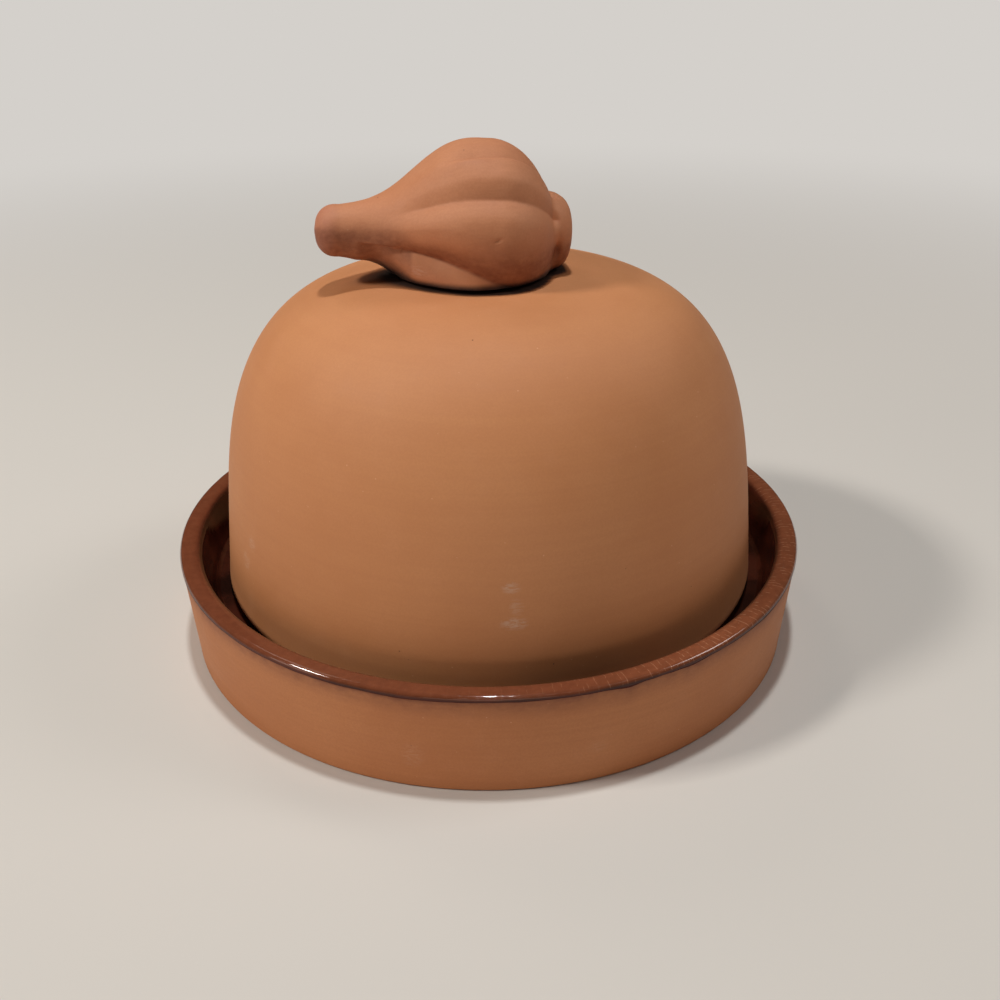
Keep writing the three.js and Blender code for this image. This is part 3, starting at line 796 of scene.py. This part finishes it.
# Lamps by the way to them from the roaster: turn from the camera's side, elevation and distance, then width
# and height. The strip makes the fine glints on the rim. The low lamp, which would leave a bright patch on
# the floor in front, lights the roaster alone.
lamps = dict(
    leftLamp=dict(turn=-75, rise=44, away=1.2, size=(0.2, 0.12), watts=6.6, tone=(1.0, 0.98, 0.93)),
    lowLeftLamp=dict(turn=-65, rise=12, away=1.2, size=(0.36, 0.36), watts=1.1, tone=(1.0, 0.92, 0.82)),
    topLamp=dict(turn=0, rise=90, away=1.25, size=(0.08, 0.08), watts=7.0, tone=(0.95, 1.02, 1.03)),
    rightLamp=dict(turn=100, rise=45, away=1.2, size=(0.36, 0.36), watts=2.45, tone=(1.0, 0.92, 0.9)),
    backLamp=dict(turn=-150, rise=50, away=1.2, size=(0.27, 0.27), watts=0.9, tone=(1.0, 0.87, 0.74)),
    frontLamp=dict(turn=0, rise=14, away=1.3, size=(0.5, 0.5), watts=0.55, tone=(1.0, 0.88, 0.78)),
    frontStrip=dict(turn=35, rise=50, away=1.2, size=(1.6, 0.01), watts=0.4, tone=(1.0, 1.0, 1.0)),
    lowLamp=dict(turn=0, rise=-6, away=0.3, size=(0.2, 0.04), watts=0.055, tone=(1.0, 0.9, 0.78),
                 onlyOn=("dishClay", "dishGlaze", "domeShell", "garlicBulb")),
)
# The roaster stands with its knob turned a little towards the camera. Focal length and sensor are in mm.
view = dict(place=(0.00274, -0.23543, 0.14976), turn=-10, pitch=27.44, roll=-0.29, focal=38.34, sensor=36,
            clip=(0.01, 100))


# A pale floor that takes the shadows near the roaster and passes into the even background further out. It
# throws light back on the walls, and is a shade lighter where it is seen directly or mirrored in the glaze.
def makeFloor():
    material, tree, shader, coords = startMaterial("paleFloor")
    path = addNode(tree, "LightPath", {})
    seen = plus(tree, path.outputs["Is Camera Ray"], path.outputs["Is Glossy Ray"])
    tone = mixed(tree, seen, paint(*stage["bounceTone"]), paint(*stage["floorTone"]))
    tree.links.new(tone, shader.inputs["Base Color"])
    shader.inputs["Roughness"].default_value = stage["floorRough"]
    shader.inputs["Specular IOR Level"].default_value = stage["floorShine"]
    away = addNode(tree, "VectorMath", {0: coords.outputs["Object"]}, operation="LENGTH").outputs["Value"]
    far = ranged(tree, away, *stage["fadeOut"])
    back = addNode(tree, "Emission", {"Color": paint(*stage["backTone"])})
    share = times(tree, far, seen)
    mix = addNode(tree, "MixShader", {0: share, 1: shader.outputs[0], 2: back.outputs[0]})
    tree.links.new(mix.outputs[0], tree.nodes["Material Output"].inputs["Surface"])
    half = stage["floorSize"] / 2
    mesh = bpy.data.meshes.new("floor")
    corners = [(-half, -half, 0), (half, -half, 0), (half, half, 0), (-half, half, 0)]
    mesh.from_pydata(corners, [], [(0, 1, 2, 3)])
    mesh.materials.append(material)
    floor = bpy.data.objects.new("floor", mesh)
    bpy.context.scene.collection.objects.link(floor)


# Even light from all round, and the floor's own tone behind what is seen directly.
def makeWorld():
    world = bpy.data.worlds.new("studio")
    world.use_nodes = True
    tree = world.node_tree
    seen = addNode(tree, "LightPath", {}).outputs["Is Camera Ray"]
    level = stage["worldLevel"]
    soft = addNode(tree, "Background", {"Color": paint(*stage["worldTone"]), "Strength": level})
    back = addNode(tree, "Background", {"Color": paint(*stage["backTone"]), "Strength": 1})
    mix = addNode(tree, "MixShader", {0: seen, 1: soft.outputs[0], 2: back.outputs[0]})
    tree.links.new(mix.outputs[0], tree.nodes["World Output"].inputs["Surface"])
    bpy.context.scene.world = world


# An area lamp that faces the roaster.
def makeLamp(name, lamp):
    data = bpy.data.lights.new(name, "AREA")
    data.shape, data.energy, data.color = "RECTANGLE", lamp["watts"], lamp["tone"]
    data.size, data.size_y = lamp["size"]
    made = bpy.data.objects.new(name, data)
    turn, rise = np.radians(lamp["turn"] + view["turn"]), np.radians(lamp["rise"])
    way = Vector((np.sin(turn) * np.cos(rise), -np.cos(turn) * np.cos(rise), np.sin(rise)))
    made.location = way * lamp["away"] + Vector((0, 0, stage["lampAim"]))
    made.rotation_euler = way.to_track_quat("Z", "Y").to_euler()
    made.visible_camera = False
    bpy.context.scene.collection.objects.link(made)
    if "onlyOn" in lamp:
        lit = bpy.data.collections.new(name)
        for piece in lamp["onlyOn"]:
            lit.objects.link(bpy.data.objects[piece])
        made.light_linking.receiver_collection = lit


# The camera in front of the roaster, pitched down, then turned about the roaster's axis.
def makeCamera():
    data = bpy.data.cameras.new("camera")
    data.lens, data.sensor_width = view["focal"], view["sensor"]
    data.clip_start, data.clip_end = view["clip"]
    camera = bpy.data.objects.new("camera", data)
    turn = Matrix.Rotation(np.radians(view["turn"]), 4, "Z")
    tilt = Matrix.Rotation(np.radians(90 - view["pitch"]), 4, "X")
    camera.location = turn @ Vector(view["place"])
    camera.rotation_euler = (turn @ tilt @ Matrix.Rotation(np.radians(view["roll"]), 4, "Z")).to_euler()
    bpy.context.scene.collection.objects.link(camera)
    bpy.context.scene.camera = camera


makeFloor()
makeWorld()
for name, lamp in lamps.items():
    makeLamp(name, lamp)
makeCamera()
bpy.context.scene.view_settings.view_transform = "Standard"
print("stage: floor, world,", len(lamps), "lamps and camera")
